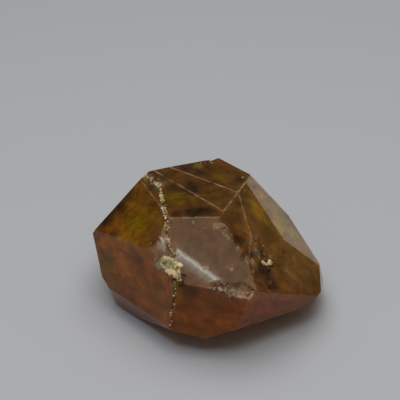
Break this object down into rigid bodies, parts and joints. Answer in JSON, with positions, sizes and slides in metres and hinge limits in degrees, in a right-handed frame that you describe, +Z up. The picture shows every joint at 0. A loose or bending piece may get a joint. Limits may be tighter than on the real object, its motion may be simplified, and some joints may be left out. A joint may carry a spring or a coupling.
{
  "type": "grossular garnet crystal",
  "caption": "Natural garnet crystal of stepped trapezohedron form, honey to red-brown and see-through, with a pale healed crack and chipped edges; lies flat on a level crystal face.",
  "frame": {"origin": "bottom centre of the crystal's box, on the level crystal face that it rests on", "axes": "+Z up, away from the resting face; +X along the crystal's longest side, to the right of someone who faces its large dark face; +Y away from that person"},
  "size_m": [0.044, 0.0402, 0.0247],
  "materials": {
    "garnet_crystal": "see-through honey to red-brown mineral with glossy crystal faces"
  },
  "bodies": {
    "root": {"garnet_crystal": "garnet_crystal"}
  },
  "joints": []
}
